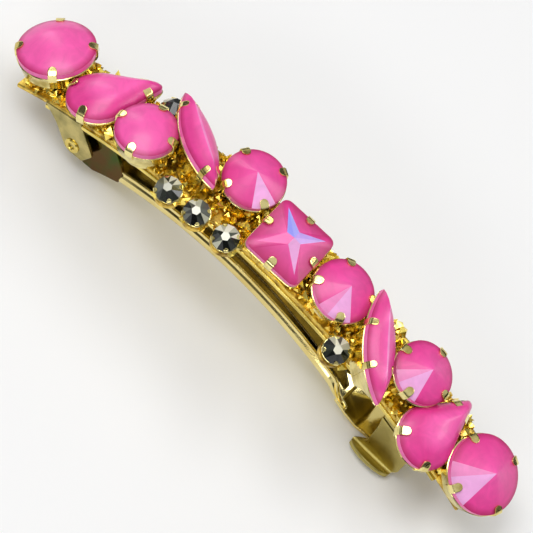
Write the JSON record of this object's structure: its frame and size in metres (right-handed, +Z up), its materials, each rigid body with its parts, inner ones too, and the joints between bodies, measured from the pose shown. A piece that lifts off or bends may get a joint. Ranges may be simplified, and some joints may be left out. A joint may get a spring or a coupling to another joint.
{
  "type": "hair barrette",
  "caption": "Arched gold-tone hair clip covered with claw-set pink round, drop, navette and square stones between small dark stones, with a hinged channel lever and a squeeze clasp",
  "frame": {"origin": "centre of the clip's footprint, at the lowest line of its finger wings", "axes": "+X from the hinge end to the clasp end, +Y to the back edge as the clip lies with its stones up, +Z up out of the stones"},
  "size_m": [0.1024, 0.0174, 0.0258],
  "materials": {
    "gold_sheet": "polished pale gold plate on sheet metal",
    "gold_bed": "gold plate, shadowed and grained between the settings",
    "gold_pin": "polished pale gold plate",
    "gold_setting": "polished pale gold plate on cast settings",
    "gold_spring_sheet": "satin pale gold plate on spring sheet",
    "spring_leaf": "pale gold plate on a thin steel leaf",
    "pink_glass": "faceted hot pink glass with a foiled back",
    "dark_glass": "faceted dark grey glass with a foiled back"
  },
  "bodies": {
    "base": {"top_plate": "gold_sheet", "stone_base": "gold_bed", "hinge_pin": "gold_pin", "clasp_bridge": "gold_sheet", "clasp_rivets": "gold_pin", "setting_01_round": "gold_setting", "setting_02_drop": "gold_setting", "setting_03_round": "gold_setting", "setting_04_navette": "gold_setting", "setting_05_round": "gold_setting", "setting_06_square": "gold_setting", "setting_07_round": "gold_setting", "setting_08_navette": "gold_setting", "setting_09_round": "gold_setting", "setting_10_drop": "gold_setting", "setting_11_round": "gold_setting", "stone_01_round": "pink_glass", "stone_02_drop": "pink_glass", "stone_03_round": "pink_glass", "stone_04_navette": "pink_glass", "stone_05_round": "pink_glass", "stone_06_square": "pink_glass", "stone_07_round": "pink_glass", "stone_08_navette": "pink_glass", "stone_09_round": "pink_glass", "stone_10_drop": "pink_glass", "stone_11_round": "pink_glass", "small_setting_01": "gold_setting", "small_setting_02": "gold_setting", "small_setting_03": "gold_setting", "small_setting_04": "gold_setting", "small_setting_05": "gold_setting", "dark_stone_01": "dark_glass", "dark_stone_02": "dark_glass", "dark_stone_03": "dark_glass", "dark_stone_04": "dark_glass", "dark_stone_05": "dark_glass"},
    "lever": {"lever": "gold_sheet"},
    "spring": {"tension_spring": "spring_leaf"},
    "front_wing": {"front_wing": "gold_spring_sheet"},
    "rear_wing": {"rear_wing": "gold_spring_sheet"}
  },
  "joints": [
    {"name": "lever_hinge", "type": "hinge", "parent": "base", "child": "lever", "pos_m": [-0.03411, 0.00124, 0.0054], "axis": [0, 1, 0], "range_deg": [0, 70]},
    {"name": "spring_flex", "type": "hinge", "parent": "lever", "child": "spring", "pos_m": [-0.02731, 0.00124, 0.0047], "axis": [0, 1, 0], "range_deg": [0, 0.7], "stiffness_Nm_per_rad": 0.01},
    {"name": "front_wing_squeeze", "type": "hinge", "parent": "base", "child": "front_wing", "pos_m": [0.03199, -0.00346, 0.00948], "axis": [0.9467, 0, -0.3221], "range_deg": [0, 4], "stiffness_Nm_per_rad": 0.02},
    {"name": "rear_wing_squeeze", "type": "hinge", "parent": "base", "child": "rear_wing", "pos_m": [0.03199, 0.00594, 0.00948], "axis": [0.9467, 0, -0.3221], "range_deg": [-4, 0], "stiffness_Nm_per_rad": 0.02}
  ],
  "couplings": [
    {"joint": "rear_wing_squeeze", "follows": "front_wing_squeeze", "ratio": -1}
  ]
}
